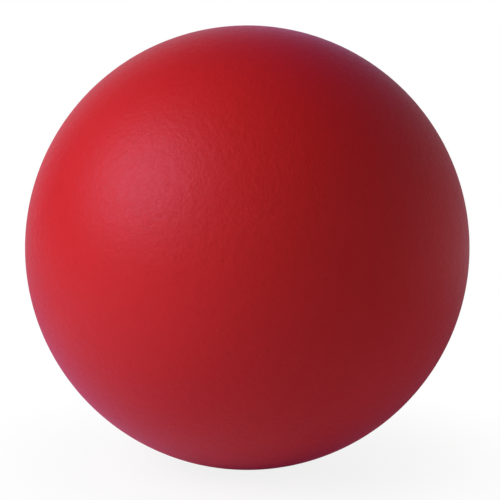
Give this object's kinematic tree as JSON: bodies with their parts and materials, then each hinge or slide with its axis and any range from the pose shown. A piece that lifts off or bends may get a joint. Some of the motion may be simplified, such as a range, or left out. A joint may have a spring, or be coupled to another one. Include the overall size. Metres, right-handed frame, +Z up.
{
  "type": "therapy ball",
  "caption": "Soft air-filled therapy ball: a hollow moulded shell with a valve seat set flush in its wall and a small stopper that pulls out to let air in or out.",
  "frame": {"origin": "middle of the small flat patch that the ball rests on, straight below the ball's middle", "axes": "+Z up from the floor; +Y from the ball's middle out through the valve, along the plug's axis"},
  "size_m": [0.23, 0.2298, 0.229],
  "materials": {
    "ball_pvc": "satin",
    "valve_pvc": "satin",
    "plug_polyethylene": "satin"
  },
  "bodies": {
    "ball": {"ball_shell": "ball_pvc", "valve_seat": "valve_pvc"},
    "plug": {"valve_plug": "plug_polyethylene"}
  },
  "joints": [
    {"name": "plug_pull", "type": "slide", "parent": "ball", "child": "plug", "axis": [0, 1, 0], "range_m": [0, 0.03]}
  ]
}
